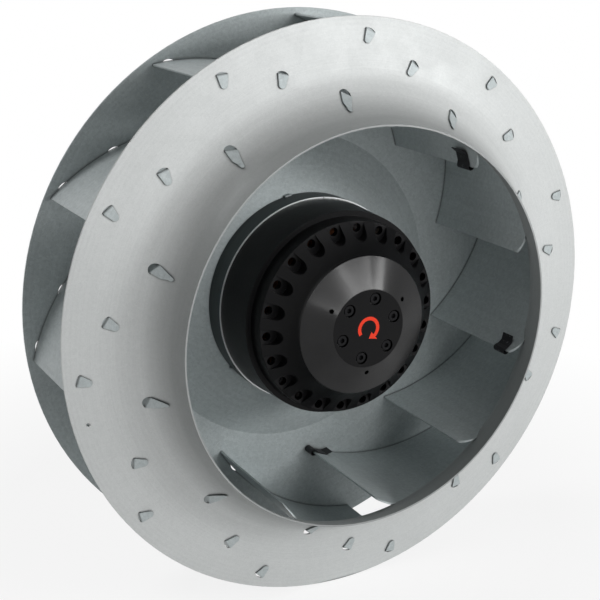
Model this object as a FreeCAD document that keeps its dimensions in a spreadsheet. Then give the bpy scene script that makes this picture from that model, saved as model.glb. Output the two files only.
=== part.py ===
import FreeCAD, Part
import os

import Sketcher

# A centrifugal fan: a backward-curved sheet-steel impeller that turns on an external-rotor motor.
# The fan turns about Y, its inlet faces -Y and +Z is up. The origin is the centre of the motor's
# mounting face. Heights are distances from that face towards the inlet, so a height is a negative Y.
# Angles are counter-clockwise seen from the inlet, from +X. Lengths are in millimetres.

SIZES = {
    # wheel: shroud and back plate
    "wheel_radius": 250.0,
    "wheel_width": 98.35,
    "shroud_thickness": 1.5,
    "shroud_slope": 9.48,
    "bend_radius": 46.75,
    "throat_radius": 170.4,
    "throat_rise": 50.8,
    "index_hole_share": 0.848,
    "index_hole_angle": 193.1,
    "index_hole_radius": 1.5,
    "plate_height": 41.65,
    "plate_thickness": 1.5,
    "cone_radius": 142.5,
    "cone_rise": 23.6,
    "neck_length": 14.0,
    "lug_count": 3,
    "lug_angle": 100.3,
    "lug_width": 6.0,
    "lug_rise": 3.5,
    # blades, and the tabs that join them to the shroud and the back plate
    "blade_count": 11,
    "blade_phase": 15.0,
    "blade_thickness": 1.5,
    "blade_throat_gap": 5.4,
    "blade_rim_gap": 5.75,
    "blade_arc_radius": 183.15,
    "blade_arc_place": 99.58,
    "blade_corner_rise": 22.5,
    "blade_corner_width": 3.1,
    "blade_corner_round": 0.3,
    "seam_gap": 0.1,
    "slot_end_gap": 0.9,
    "tab_length": 9.2,
    "tab_stem_inset": 0.6,
    "tab_elbow_share": 0.64,
    "tab_elbow_width": 6.6,
    "tab_elbow_lean": 0.44,
    "tab_bend": 1.2,
    "outer_tab_share": 0.8543,
    "outer_tab_reach": 10.8,
    "outer_tab_tip": 6.1,
    "outer_tab_lean": 0.0,
    "outer_tab_opening": 1.3,
    "middle_tab_share": 0.5854,
    "middle_tab_reach": 11.2,
    "middle_tab_tip": 6.4,
    "middle_tab_lean": 0.0,
    "middle_tab_opening": 1.9,
    "inner_tab_share": 0.2525,
    "inner_tab_reach": 12.0,
    "inner_tab_tip": 3.6,
    "inner_tab_lean": 2.7,
    "inner_tab_opening": 3.2,
    "outer_back_tab_share": 0.9338,
    "middle_back_tab_share": 0.6593,
    "inner_back_tab_share": 0.1577,
    "back_tab_reach": 11.0,
    "back_tab_tip": 6.2,
    "back_tab_lean": 0.0,
    "back_tab_opening": 1.4,
    # balance clips on the blades' inner edges
    "clip_thickness": 0.8,
    "clip_gap": 0.1,
    "clip_bulge": 1.8,
    "clip_knee": 4.0,
    "clip_flare": 5.5,
    "clip_flare_rise": 3.5,
    "clip_1_width": 16.0,
    "clip_1_leg": 17.5,
    "clip_1_share": 0.962,
    "clip_2_width": 14.0,
    "clip_2_leg": 14.0,
    "clip_2_share": 0.991,
    "clip_3_width": 11.5,
    "clip_3_leg": 20.0,
    "clip_3_share": 0.01,
    # collar between the wheel and the rotor
    "collar_thickness": 1.1,
    "collar_front": 87.25,
    "collar_back": 52.0,
    "collar_seam": 0.8,
    "collar_seam_angle": 85.0,
    # rotor bell
    "rotor_radius": 91.5,
    "rotor_front_radius": 89.5,
    "rotor_back": 24.0,
    "rotor_bore": 86.5,
    "step_height": 130.5,
    "step_radius": 85.0,
    "shoulder_height": 145.0,
    "shoulder_radius": 84.0,
    "flare_height": 155.5,
    "flare_radius": 70.0,
    "boss_height": 168.25,
    "boss_radius": 59.3,
    "plateau_height": 178.25,
    "plateau_radius": 33.3,
    "bell_wall": 3.5,
    "bell_face": 5.0,
    "bell_boss_wall": 10.0,
    "bell_boss_inset": 2.0,
    "bell_flare_outset": 3.0,
    "boss_inside": 165.0,
    "cooling_count": 22,
    "cooling_phase": 3.4,
    "cooling_place": 78.1,
    "cooling_radius": 3.75,
    "recess_place": 75.0,
    "recess_radius": 6.25,
    "recess_floor": 145.5,
    "dimple_count": 3,
    "dimple_angle": 30.7,
    "dimple_place": 39.25,
    "dimple_radius": 1.9,
    "dimple_depth": 7.0,
    # screws that hold the rotor on the shaft
    "screw_count": 6,
    "screw_phase": 16.2,
    "screw_place": 25.5,
    "screw_radius": 2.5,
    "screw_clearance": 0.25,
    "screw_engagement": 6.75,
    "screw_head_radius": 4.25,
    "screw_head_height": 5.0,
    "screw_socket": 4.0,
    "screw_socket_depth": 2.5,
    "counterbore_radius": 5.5,
    "counterbore_depth": 6.0,
    # shaft and bearings
    "shaft_radius": 10.0,
    "shaft_shoulder": 13.0,
    "shaft_end": 27.0,
    "shaft_flange_radius": 34.0,
    "shaft_flange_thickness": 8.0,
    "bearing_radius": 23.5,
    "bearing_width": 14.0,
    "front_bearing": 134.0,
    "rear_bearing": 32.0,
    "race_wall": 3.6,
    "ball_radius": 3.6,
    "ball_gap": 0.05,
    "ball_count": 7,
    "circlip_thickness": 1.2,
    "circlip_sink": 1.0,
    "circlip_rise": 2.5,
    "circlip_opening": 6.0,
    # stator
    "flange_radius": 91.5,
    "flange_thickness": 22.0,
    "spigot_gap": 1.5,
    "spigot_wall": 5.0,
    "spigot_rise": 8.0,
    "tube_radius": 29.0,
    "tube_height": 150.0,
    "tube_bore": 21.5,
    "spring_thickness": 1.5,
    "spring_wall": 3.0,
    "cap_radius": 26.0,
    "cap_thickness": 3.0,
    "cap_sink": 2.0,
    "bolt_count": 4,
    "bolt_circle": 140.0,
    "bolt_phase": 45.0,
    "bolt_hole_radius": 3.4,
    "bolt_hole_depth": 16.0,
    "core_radius": 75.0,
    "core_back": 50.0,
    "core_length": 62.0,
    "air_gap": 0.5,
    "slot_count": 24,
    "slot_bottom": 52.0,
    "slot_top": 72.5,
    "slot_bottom_width": 8.0,
    "slot_top_width": 12.0,
    "slot_mouth": 3.0,
    "winding_gap": 0.4,
    "winding_head": 13.0,
    "winding_chamfer": 4.3,
    # cable gland and earth screw on a flat of the flange's rim
    "flat_depth": 5.5,
    "flat_height": 11.0,
    "gland_thread_radius": 8.0,
    "gland_thread_length": 15.0,
    "gland_hexagon": 19.0,
    "gland_hexagon_length": 6.0,
    "gland_bore": 5.5,
    "gland_neck_radius": 7.0,
    "gland_neck_length": 7.0,
    "gland_nut_radius": 9.0,
    "gland_nut_length": 10.0,
    "gland_nut_wall": 2.0,
    "gland_recess_radius": 3.5,
    "gland_recess_depth": 4.0,
    "duct_radius": 4.0,
    "duct_place": 75.5,
    "earth_place": 20.0,
    "earth_radius": 2.0,
    "earth_length": 8.0,
    "earth_head_radius": 4.0,
    "earth_head_height": 2.8,
    "earth_head_side": 2.0,
    "earth_crown_radius": 3.2,
    "earth_slot": 1.0,
    # how far a cutting outline reaches past the piece it cuts
    "cut_reach": 10.0,
}

# The blades that carry a balance clip, counted counter-clockwise from the first
CLIPPED_BLADES = [1, 10, 8]

# Two points of a sketch are one when they lie this close, in millimetres
SAME_POINT = 1e-6

document = FreeCAD.newDocument("centrifugal_fan")
sheet = document.addObject("Spreadsheet::Sheet", "size")
for row, (alias, value) in enumerate(SIZES.items(), start=1):
    sheet.set(f"A{row}", alias)
    sheet.set(f"B{row}", str(value))
    sheet.setAlias(f"B{row}", alias)
document.recompute()

# Sizes that several pieces share, as expressions on the sheet
RIM = "(size.plate_height + size.wheel_width)"
BEND_PLACE = "(size.throat_radius + size.bend_radius)"
BEND_RISE = (
    f"((size.bend_radius + (size.wheel_radius - {BEND_PLACE}) * sin(size.shroud_slope))"
    " / cos(size.shroud_slope))"
)
COLLAR_RADIUS = "(size.rotor_radius + size.collar_thickness)"
NECK_RADIUS = f"({COLLAR_RADIUS} + size.plate_thickness)"
CONE_TOP = "(size.plate_height + size.cone_rise)"
CONE_ANGLE = f"(atan(size.cone_rise / (size.cone_radius - {COLLAR_RADIUS})) / 1 deg)"
HALF_BLADE = "(size.blade_thickness / 2)"
BLADE_INNER = "(size.throat_radius - size.blade_throat_gap)"
BLADE_OUTER = "(size.wheel_radius - size.blade_rim_gap)"
BLADE_START = (
    f"(acos(({BLADE_INNER} ^ 2 + size.blade_arc_place ^ 2 - size.blade_arc_radius ^ 2)"
    f" / (2 * {BLADE_INNER} * size.blade_arc_place)) / 1 deg)"
)
WHEEL_ANGLE = f"(size.blade_phase + {BLADE_START})"
BLADE_STEP = "(360 / size.blade_count)"
CORE_FRONT = "(size.core_back + size.core_length)"
SCREW_SEAT = "(size.plateau_height - size.counterbore_depth)"
BALL_PLACE = "((size.shaft_radius + size.bearing_radius) / 2)"
FLAT_PLACE = "(size.flange_radius - size.flat_depth)"


def number(expression):
    """The present value of an expression on the sheet."""
    result = sheet.evalExpression(expression)
    return float(getattr(result, "Value", result))


def vector(corner):
    """A corner's present place in its sketch."""
    return FreeCAD.Vector(number(corner[0]), number(corner[1]), 0)


def polar(radius, angle):
    """The corner at a radius and an angle."""
    return f"({radius}) * cos({angle})", f"({radius}) * sin({angle})"


def arc_angle(place):
    """Where the blade's arc reaches a distance from the fan's axis, as an angle about the arc's centre."""
    return (
        f"(-acos((({place}) ^ 2 - size.blade_arc_place ^ 2 - size.blade_arc_radius ^ 2)"
        " / (2 * size.blade_arc_place * size.blade_arc_radius)) / 1 deg)"
    )


def turned(angle, lift="0"):
    """A placement turned about the fan's axis and lifted towards the inlet."""
    return (
        f"create(<<placement>>; create(<<vector>>; 0; -({lift}); 0);"
        f" create(<<rotation>>; create(<<vector>>; 0; -1; 0); {angle}))"
    )


def on_flat(shift, height):
    """A placement on the flange's flat for a piece whose own height points out of it."""
    return (
        f"create(<<placement>>; create(<<vector>>; {shift}; -({height}); -({FLAT_PLACE}));"
        " create(<<rotation>>; create(<<vector>>; 1; 0; 0); 90))"
    )


def new_body(name, placement=None):
    """An empty body that carries the node's name."""
    body = document.addObject("PartDesign::Body", name)
    body.Label = name
    if placement:
        body.setExpression("Placement", placement)
    return body


def new_sketch(body, plane, height="0", shift="0"):
    """A sketch on one of the body's own planes, raised off it and shifted along its first axis."""
    sketch = body.newObject("Sketcher::SketchObject", f"{body.Name}_sketch")
    origin_plane = next(item for item in body.Origin.OriginFeatures if item.Role == plane)
    sketch.AttachmentSupport = [(origin_plane, "")]
    sketch.MapMode = "FlatFace"
    sketch.setExpression("AttachmentOffset.Base.x", shift)
    sketch.setExpression("AttachmentOffset.Base.z", height)
    return sketch


def across(body, height, shift="0"):
    """A sketch across the fan's axis, seen from the inlet."""
    return new_sketch(body, "XZ_Plane", height, shift)


def tie(sketch, geometry, point, corner):
    """Tie both coordinates of a point to a corner's expressions."""
    for kind, expression in zip(["DistanceX", "DistanceY"], corner):
        constraint = Sketcher.Constraint(kind, -1, 1, geometry, point, number(expression))
        index = sketch.addConstraint(constraint)
        sketch.setExpression(f"Constraints[{index}]", expression)


def loop(sketch, corners):
    """A closed outline. A corner of four values is reached by an arc that passes its last two."""
    edges = []
    for index, corner in enumerate(corners):
        start = vector(corners[index - 1])
        end = vector(corner)
        if len(corner) == 4:
            edge = sketch.addGeometry(Part.Arc(start, vector(corner[2:]), end))
        else:
            edge = sketch.addGeometry(Part.LineSegment(start, end))
        first = 1 if sketch.getPoint(edge, 1).isEqual(start, SAME_POINT) else 2
        edges.append((edge, first, 3 - first))
    for index, corner in enumerate(corners):
        edge, _, last = edges[index]
        next_edge, next_first, _ = edges[(index + 1) % len(corners)]
        sketch.addConstraint(Sketcher.Constraint("Coincident", edge, last, next_edge, next_first))
        tie(sketch, edge, last, corner)
        if len(corner) == 4:
            middle = sketch.addGeometry(Part.Point(vector(corner[2:])), True)
            tie(sketch, middle, 1, corner[2:])
            sketch.addConstraint(Sketcher.Constraint("PointOnObject", middle, 1, edge))


def circle(sketch, centre, radius):
    """A circle about a corner."""
    disc = Part.Circle(vector(centre), FreeCAD.Vector(0, 0, 1), number(radius))
    edge = sketch.addGeometry(disc)
    tie(sketch, edge, 3, centre)
    index = sketch.addConstraint(Sketcher.Constraint("Radius", edge, number(radius)))
    sketch.setExpression(f"Constraints[{index}]", radius)


def hexagon(sketch, centre, flats):
    """A hexagon about a corner, by its distance across the flats."""
    corners = []
    for side in range(6):
        along, up = polar(f"{flats} / 2 / cos(30)", str(60 * side))
        corners.append((f"{centre[0]} + {along}", f"{centre[1]} + {up}"))
    loop(sketch, corners)


def sector(inner, outer, start, end):
    """The outline between two radii and two angles about the sketch's origin."""
    middle = f"(({start}) + ({end})) / 2"
    return [
        polar(outer, start),
        polar(outer, end) + polar(outer, middle),
        polar(inner, end),
        polar(inner, start) + polar(inner, middle),
    ]


def turn(body, *outlines, cut=False):
    """Turn an outline of radii and heights about the axis. A second outline is a hole in the first."""
    sketch = new_sketch(body, "XY_Plane")
    for corners in outlines:
        downward = []
        for corner in corners:
            downward.append(tuple(f"-({v})" if i % 2 else v for i, v in enumerate(corner)))
        loop(sketch, downward)
    kind = "PartDesign::Groove" if cut else "PartDesign::Revolution"
    feature = body.newObject(kind, f"{body.Name}_turned")
    feature.Profile = sketch
    feature.ReferenceAxis = (sketch, ["V_Axis"])
    feature.Angle = 360
    body.Tip = feature
    document.recompute()


def pad(body, sketch, length):
    """Pad a sketch towards the inlet."""
    feature = body.newObject("PartDesign::Pad", f"{body.Name}_pad")
    feature.Profile = sketch
    feature.setExpression("Length", length)
    body.Tip = feature
    document.recompute()
    return feature


def pocket(body, sketch, depth, onward=False):
    """Cut a sketch away from the inlet, or onward to it, and see that it cuts something."""
    before = body.Shape.Volume
    feature = body.newObject("PartDesign::Pocket", f"{body.Name}_pocket")
    feature.Profile = sketch
    feature.Reversed = onward
    feature.setExpression("Length", depth)
    body.Tip = feature
    document.recompute()
    if feature.Shape.Volume >= before:
        raise ValueError(f"{body.Label}: a pocket cuts nothing")
    return feature


def repeat(body, features, count):
    """Repeat features round the axis."""
    pattern = body.newObject("PartDesign::PolarPattern", f"{body.Name}_pattern")
    pattern.Originals = features
    axis = next(item for item in body.Origin.OriginFeatures if item.Role == "Y_Axis")
    pattern.Axis = (axis, [""])
    pattern.Angle = 360
    pattern.setExpression("Occurrences", count)
    body.Tip = pattern
    document.recompute()


def copy_of(piece, name, placement):
    """The same piece again at another placement."""
    link = document.addObject("App::Link", name)
    link.Label = name
    link.LinkedObject = piece
    link.setExpression("Placement", placement)
    return link


def shroud_height(place, offset):
    """The height of the shroud's bend at a distance from the axis, moved off its inlet side."""
    bend = f"(size.bend_radius - ({offset}))"
    return f"{RIM} + {BEND_RISE} - sqrt({bend} ^ 2 - ({BEND_PLACE} - {place}) ^ 2)"


def shroud_curve(offset):
    """The shroud's rim, the start, middle and end of its bend, moved off its inlet side."""
    bend = f"(size.bend_radius - ({offset}))"
    start_turn = "size.shroud_slope"
    middle_turn = "((90 + size.shroud_slope) / 2)"
    rim = ("size.wheel_radius", f"{RIM} + ({offset}) / cos({start_turn})")
    start = (
        f"{BEND_PLACE} - {bend} * sin({start_turn})",
        f"{RIM} + {BEND_RISE} - {bend} * cos({start_turn})",
    )
    middle = (
        f"{BEND_PLACE} - {bend} * sin({middle_turn})",
        f"{RIM} + {BEND_RISE} - {bend} * cos({middle_turn})",
    )
    end = (
        f"{BEND_PLACE} - sqrt({bend} ^ 2 - ({BEND_RISE} - size.throat_rise) ^ 2)",
        f"{RIM} + size.throat_rise",
    )
    return rim, start, middle, end


def shroud_layer(near, far):
    """The closed section between two offsets of the shroud's curve."""
    near_rim, near_start, near_middle, near_end = shroud_curve(near)
    far_rim, far_start, far_middle, far_end = shroud_curve(far)
    return [near_rim, near_start, near_end + near_middle, far_end, far_start + far_middle, far_rim]


def on_blade(place, along, inward):
    """A corner along the blade from a place on its arc, and inward from its outer face."""
    angle = f"{arc_angle(place)} + ({along}) / size.blade_arc_radius * 180 / pi"
    return polar(f"size.blade_arc_radius + {HALF_BLADE} - ({inward})", angle)


def tab_outline(place, reach, tip, lean):
    """A folded tab from its fold to its round end, which may lean towards the blade's inner edge."""
    half = "size.tab_length / 2"
    elbow = f"size.tab_elbow_share * {reach}"
    elbow_half = "size.tab_elbow_width / 2"
    elbow_lean = f"size.tab_elbow_lean * {lean}"
    shoulder = f"{reach} - {tip} / 2"
    return [
        on_blade(place, f"-{half}", "0"),
        on_blade(place, half, "0") + on_blade(place, "0", "0"),
        on_blade(place, f"{elbow_half} - {elbow_lean}", elbow),
        on_blade(place, f"{tip} / 2 - {lean}", shoulder),
        on_blade(place, f"-{tip} / 2 - {lean}", shoulder) + on_blade(place, f"-{lean}", reach),
        on_blade(place, f"-{elbow_half} - {elbow_lean}", elbow),
    ]


def stem_outline(place, end_gap="0", side_gap="0", opening="0"):
    """Where a tab passes through a sheet, grown at its ends and sides and bowed on its outer side."""
    half = f"(size.tab_length / 2 - size.tab_stem_inset + {end_gap})"
    inner_side = f"size.blade_thickness + {side_gap}"
    return [
        on_blade(place, f"-{half}", f"-{side_gap}"),
        on_blade(place, half, f"-{side_gap}") + on_blade(place, "0", f"-{side_gap} - {opening}"),
        on_blade(place, half, inner_side),
        on_blade(place, f"-{half}", inner_side) + on_blade(place, "0", inner_side),
    ]


def share_of_way(start, end, share):
    """A distance from the axis, at a share of the way between two others."""
    return f"({start} + {share} * ({end} - {start}))"


# Every tab's place on the blade's arc, then its reach, tip and lean, then the opening of its slot
FRONT_TABS = []
BACK_TABS = []
for position in ["outer", "middle", "inner"]:
    front_tab = f"size.{position}_tab"
    front_place = share_of_way("size.throat_radius", "size.wheel_radius", f"{front_tab}_share")
    front_shape = (f"{front_tab}_reach", f"{front_tab}_tip", f"{front_tab}_lean")
    FRONT_TABS.append((front_place, front_shape, f"{front_tab}_opening"))
    back_place = share_of_way(BLADE_INNER, BLADE_OUTER, f"size.{position}_back_tab_share")
    back_shape = ("size.back_tab_reach", "size.back_tab_tip", "size.back_tab_lean")
    BACK_TABS.append((back_place, back_shape, "size.back_tab_opening"))


def cut_tab_slots(body, tabs, height, depth):
    """Slots for the tabs of every blade, cut down from a height."""
    sketch = across(body, height, "size.blade_arc_place")
    for place, _, opening in tabs:
        loop(sketch, stem_outline(place, "size.slot_end_gap", "size.seam_gap", opening))
    slots = pocket(body, sketch, depth)
    repeat(body, [slots], "size.blade_count")


# Shroud: a spun ring that rises from its rim and bends up into the inlet's throat
THROAT_HEIGHT = f"{RIM} + size.throat_rise"
shroud = new_body("shroud", turned(WHEEL_ANGLE))
turn(shroud, shroud_layer("0", "-size.shroud_thickness"))
cut_tab_slots(shroud, FRONT_TABS, THROAT_HEIGHT, "size.throat_rise + size.wheel_width / 2")
index_sketch = across(shroud, THROAT_HEIGHT)
index_angle = f"(size.index_hole_angle - {WHEEL_ANGLE})"
index_place = share_of_way("size.throat_radius", "size.wheel_radius", "size.index_hole_share")
circle(index_sketch, polar(index_place, index_angle), "size.index_hole_radius")
pocket(shroud, index_sketch, "size.throat_rise + size.wheel_width / 2")

# Back plate: a flat ring, a shallow cone up to the rotor and a neck turned back round the collar
back_plate = new_body("back_plate", turned(WHEEL_ANGLE))
cone_back = f"{CONE_TOP} - size.plate_thickness * (tan({CONE_ANGLE}) + 1 / cos({CONE_ANGLE}))"
neck_back = f"{CONE_TOP} - size.neck_length"
plate_back = "size.plate_height - size.plate_thickness"
cone_start = f"size.cone_radius - size.plate_thickness * tan({CONE_ANGLE} / 2)"
turn(
    back_plate,
    [
        ("size.wheel_radius", "size.plate_height"),
        ("size.cone_radius", "size.plate_height"),
        (COLLAR_RADIUS, CONE_TOP),
        (COLLAR_RADIUS, neck_back),
        (NECK_RADIUS, neck_back),
        (NECK_RADIUS, cone_back),
        (cone_start, plate_back),
        ("size.wheel_radius", plate_back),
    ],
)
cut_tab_slots(back_plate, BACK_TABS, "size.plate_height + size.cone_rise", "size.cone_rise * 2")

# Lugs turned up from the neck, against the collar
lug_sketch = across(back_plate, f"{CONE_TOP} - size.plate_thickness")
lug_middle = f"(size.lug_angle - {WHEEL_ANGLE})"
lug_half = f"(size.lug_width / 2 / {COLLAR_RADIUS} * 180 / pi)"
loop(
    lug_sketch,
    sector(COLLAR_RADIUS, NECK_RADIUS, f"{lug_middle} - {lug_half}", f"{lug_middle} + {lug_half}"),
)
lug = pad(back_plate, lug_sketch, "size.plate_thickness + size.lug_rise")
repeat(back_plate, [lug], "size.lug_count")


# Blade: an arc of sheet from the back plate to the shroud, made in a frame where the arc's centre
# lies on the first axis
def make_blade_web():
    """The blade between the sheets, with its tabs through the back plate folded over behind it."""
    web = new_body("blade_web")
    plan = across(web, "size.plate_height + size.seam_gap", "size.blade_arc_place")
    loop(
        plan,
        sector(
            f"size.blade_arc_radius - {HALF_BLADE}",
            f"size.blade_arc_radius + {HALF_BLADE}",
            arc_angle(BLADE_INNER),
            arc_angle(BLADE_OUTER),
        ),
    )
    pad(web, plan, "size.wheel_width + size.throat_rise")
    under = "(-size.shroud_thickness - size.seam_gap)"
    rim, bend_start, _, _ = shroud_curve(under)
    corner_place = "(size.throat_radius + size.blade_corner_width)"
    corner_height = f"({shroud_height(corner_place, under)})"
    bend_middle = f"(({bend_start[0]} + {corner_place}) / 2)"
    edge_height = f"{RIM} + size.blade_corner_rise"
    inside = f"{BLADE_INNER} - size.cut_reach"
    above = f"{THROAT_HEIGHT} + size.cut_reach"
    round_corner = (
        f"{BLADE_INNER} + size.blade_corner_round * ({corner_place} - {BLADE_INNER})",
        f"{corner_height} - size.blade_corner_round * ({corner_height} - ({edge_height}))",
    )
    turn(
        web,
        [
            rim,
            bend_start,
            (corner_place, corner_height, bend_middle, shroud_height(bend_middle, under)),
            (BLADE_INNER, edge_height) + round_corner,
            (inside, edge_height),
            (inside, above),
            ("size.wheel_radius", above),
        ],
        cut=True,
    )
    fold_back = "size.plate_height - size.plate_thickness - size.seam_gap - size.blade_thickness"
    stems = across(web, f"{fold_back} + {HALF_BLADE}", "size.blade_arc_place")
    folds = across(web, fold_back, "size.blade_arc_place")
    for place, shape, _ in BACK_TABS:
        loop(stems, stem_outline(place))
        loop(folds, tab_outline(place, *shape))
    pad(web, stems, "size.plate_thickness + 2 * size.seam_gap + size.blade_thickness")
    pad(web, folds, "size.blade_thickness")
    return web


def make_blade_stems():
    """The tabs where they stand through the shroud, up to the middle of the folds' sheet."""
    stems = new_body("blade_stems")
    plan = across(stems, f"{RIM} - 2 * size.shroud_thickness", "size.blade_arc_place")
    for place, _, _ in FRONT_TABS:
        loop(plan, stem_outline(place))
    pad(stems, plan, "2 * size.shroud_thickness + size.throat_rise")
    rim, bend_start, bend_middle, bend_end = shroud_curve(f"size.seam_gap + {HALF_BLADE}")
    above = f"{THROAT_HEIGHT} + size.cut_reach"
    turn(
        stems,
        [rim, bend_start, bend_end + bend_middle, (bend_end[0], above), ("size.wheel_radius", above)],
        cut=True,
    )
    return stems


def make_blade_folds():
    """The tabs' ends, folded flat on the shroud and following its bend."""
    folds = new_body("blade_folds")
    plan = across(folds, f"{RIM} - 2 * size.shroud_thickness", "size.blade_arc_place")
    for place, shape, _ in FRONT_TABS:
        loop(plan, tab_outline(place, *shape))
    pad(folds, plan, "2 * size.shroud_thickness + size.throat_rise")
    above = f"{THROAT_HEIGHT} + size.cut_reach"
    below = f"{RIM} - size.cut_reach"
    around = [
        (f"{BLADE_INNER} / 2", below),
        ("size.wheel_radius + size.cut_reach", below),
        ("size.wheel_radius + size.cut_reach", above),
        (f"{BLADE_INNER} / 2", above),
    ]
    layer = shroud_layer("size.seam_gap", "size.seam_gap + size.blade_thickness")
    turn(folds, around, layer, cut=True)
    return folds


def bend_edges(blade):
    """The numbers of the edges on the outer side of the tabs' folds, one for every tab."""
    near = number("size.tab_length / 10")
    long = number("size.tab_length / 2")
    corners = [vector(on_blade(place, "0", "0")) for place, _, _ in FRONT_TABS + BACK_TABS]
    centre = number("size.blade_arc_place")
    found = []
    for edge_number, edge in enumerate(blade.Edges, start=1):
        middle = edge.valueAt((edge.FirstParameter + edge.LastParameter) / 2)
        plan = FreeCAD.Vector(middle.x - centre, middle.z, 0)
        closest = min(plan.distanceToPoint(corner) for corner in corners)
        if edge.Length > long and closest < near:
            found.append(edge_number)
    if len(found) != len(corners):
        raise ValueError(f"blade: {len(corners)} tabs but {len(found)} folded edges")
    return found


sharp_blade = document.addObject("Part::MultiFuse", "sharp_blade")
sharp_blade.Shapes = [make_blade_web(), make_blade_stems(), make_blade_folds()]
sharp_blade.Refine = True
document.recompute()
first_blade = document.addObject("Part::Fillet", "blade_01")
first_blade.Label = "blade_01"
first_blade.Base = sharp_blade
tab_bend = number("size.tab_bend")
first_blade.Edges = [(edge_number, tab_bend, tab_bend) for edge_number in bend_edges(sharp_blade.Shape)]
first_blade.setExpression("Placement", turned(WHEEL_ANGLE))
document.recompute()
blades = [first_blade]
for blade_index in range(1, SIZES["blade_count"]):
    blade_angle = f"{WHEEL_ANGLE} + {blade_index} * {BLADE_STEP}"
    blades.append(copy_of(first_blade, f"blade_{blade_index + 1:02d}", turned(blade_angle)))


# Balance clip: a spring-steel channel pushed over a blade's inner edge
def make_clip(clip_number, blade_index):
    """A clip with a bulging bight, whose leg on the blade's hollow side turns up at its end."""
    size = f"size.clip_{clip_number}"
    room = f"({RIM} + size.blade_corner_rise - size.plate_height - {size}_width)"
    angle = f"{WHEEL_ANGLE} + {blade_index} * {BLADE_STEP}"
    placement = turned(angle, f"size.plate_height + {size}_share * {room}")
    clip = new_body(f"balance_clip_{clip_number}", placement)
    leg = f"{size}_leg"
    fold = f"{leg} - size.clip_flare"
    outer_wall = "-size.clip_gap - size.clip_thickness"
    inner_wall = "size.blade_thickness + size.clip_gap + size.clip_thickness"
    bulge = "(size.clip_bulge + size.clip_thickness)"
    nose = f"({HALF_BLADE} + size.clip_bulge)"

    def corner(along, inward):
        return on_blade(BLADE_INNER, along, inward)

    def reached(start, end, inward):
        return corner(end, inward) + corner(f"(({start}) + ({end})) / 2", inward)

    sketch = across(clip, "0", "size.blade_arc_place")
    loop(
        sketch,
        [
            corner(leg, outer_wall),
            reached(leg, "size.clip_knee", outer_wall),
            corner("0", f"-{bulge}"),
            corner("0", f"size.blade_thickness + {bulge}")
            + corner(f"-{nose} - size.clip_thickness", HALF_BLADE),
            corner("size.clip_knee", inner_wall),
            reached("size.clip_knee", fold, inner_wall),
            corner(leg, f"{inner_wall} + size.clip_flare_rise"),
            corner(leg, f"{inner_wall} - size.clip_thickness + size.clip_flare_rise"),
            corner(fold, f"{inner_wall} - size.clip_thickness"),
            reached(fold, "size.clip_knee", f"{inner_wall} - size.clip_thickness"),
            corner("0", "size.blade_thickness + size.clip_bulge"),
            corner("0", "-size.clip_bulge") + corner(f"-{nose}", HALF_BLADE),
            corner("size.clip_knee", "-size.clip_gap"),
            reached("size.clip_knee", leg, "-size.clip_gap"),
        ],
    )
    pad(clip, sketch, f"{size}_width")
    return clip


clips = []
for clip_number, blade_index in enumerate(CLIPPED_BLADES, start=1):
    clips.append(make_clip(clip_number, blade_index))

# Collar: a rolled strip, butted at a seam, that carries the wheel on the rotor
hub_collar = new_body("hub_collar", turned("size.collar_seam_angle"))
turn(
    hub_collar,
    [
        ("size.rotor_radius", "size.collar_back"),
        (COLLAR_RADIUS, "size.collar_back"),
        (COLLAR_RADIUS, "size.collar_front"),
        ("size.rotor_radius", "size.collar_front"),
    ],
)
seam_sketch = across(hub_collar, "size.collar_front")
loop(
    seam_sketch,
    [
        ("size.rotor_radius - size.cut_reach", "-size.collar_seam / 2"),
        ("size.rotor_radius + size.cut_reach", "-size.collar_seam / 2"),
        ("size.rotor_radius + size.cut_reach", "size.collar_seam / 2"),
        ("size.rotor_radius - size.cut_reach", "size.collar_seam / 2"),
    ],
)
pocket(hub_collar, seam_sketch, "size.collar_front - size.collar_back")

# Rotor bell: a cast cup round the stator, with a stepped rim, a flared face and a screwed boss
rotor_bell = new_body("rotor_bell", turned("size.cooling_phase"))
inner_wall = "(size.shoulder_radius - size.bell_wall)"
inner_step = "(size.rotor_bore - size.shoulder_radius + size.bell_wall)"
turn(
    rotor_bell,
    [
        ("size.rotor_bore", "size.rotor_back"),
        ("size.rotor_radius", "size.rotor_back"),
        ("size.rotor_radius", "size.collar_front"),
        ("size.rotor_front_radius", "size.step_height"),
        ("size.step_radius", "size.step_height"),
        ("size.shoulder_radius", "size.shoulder_height"),
        ("size.boss_radius", "size.boss_height", "size.flare_radius", "size.flare_height"),
        ("size.plateau_radius", "size.plateau_height"),
        ("0", "size.plateau_height"),
        ("0", "size.boss_inside"),
        ("size.shaft_flange_radius + size.bell_boss_inset", "size.boss_inside"),
        ("size.boss_radius - size.bell_boss_inset", "size.boss_height - size.bell_boss_wall"),
        ("size.flare_radius + size.bell_flare_outset", "size.shoulder_height - size.bell_face"),
        (inner_wall, "size.shoulder_height - size.bell_face"),
        (inner_wall, "size.step_height - size.bell_wall"),
        ("size.rotor_bore", f"size.step_height - size.bell_wall - {inner_step}"),
    ],
)
recess_sketch = across(rotor_bell, "size.recess_floor")
recess_reach = "size.shoulder_radius + size.recess_radius"
loop(
    recess_sketch,
    [
        (recess_reach, "-size.recess_radius"),
        (recess_reach, "size.recess_radius"),
        ("size.recess_place", "size.recess_radius"),
        ("size.recess_place", "-size.recess_radius", "size.recess_place - size.recess_radius", "0"),
    ],
)
recess = pocket(rotor_bell, recess_sketch, "size.plateau_height - size.recess_floor", onward=True)
repeat(rotor_bell, [recess], "size.cooling_count")
cooling_sketch = across(rotor_bell, "size.recess_floor")
circle(cooling_sketch, ("size.cooling_place", "0"), "size.cooling_radius")
cooling_hole = pocket(rotor_bell, cooling_sketch, "size.recess_floor - size.step_height")
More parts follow.
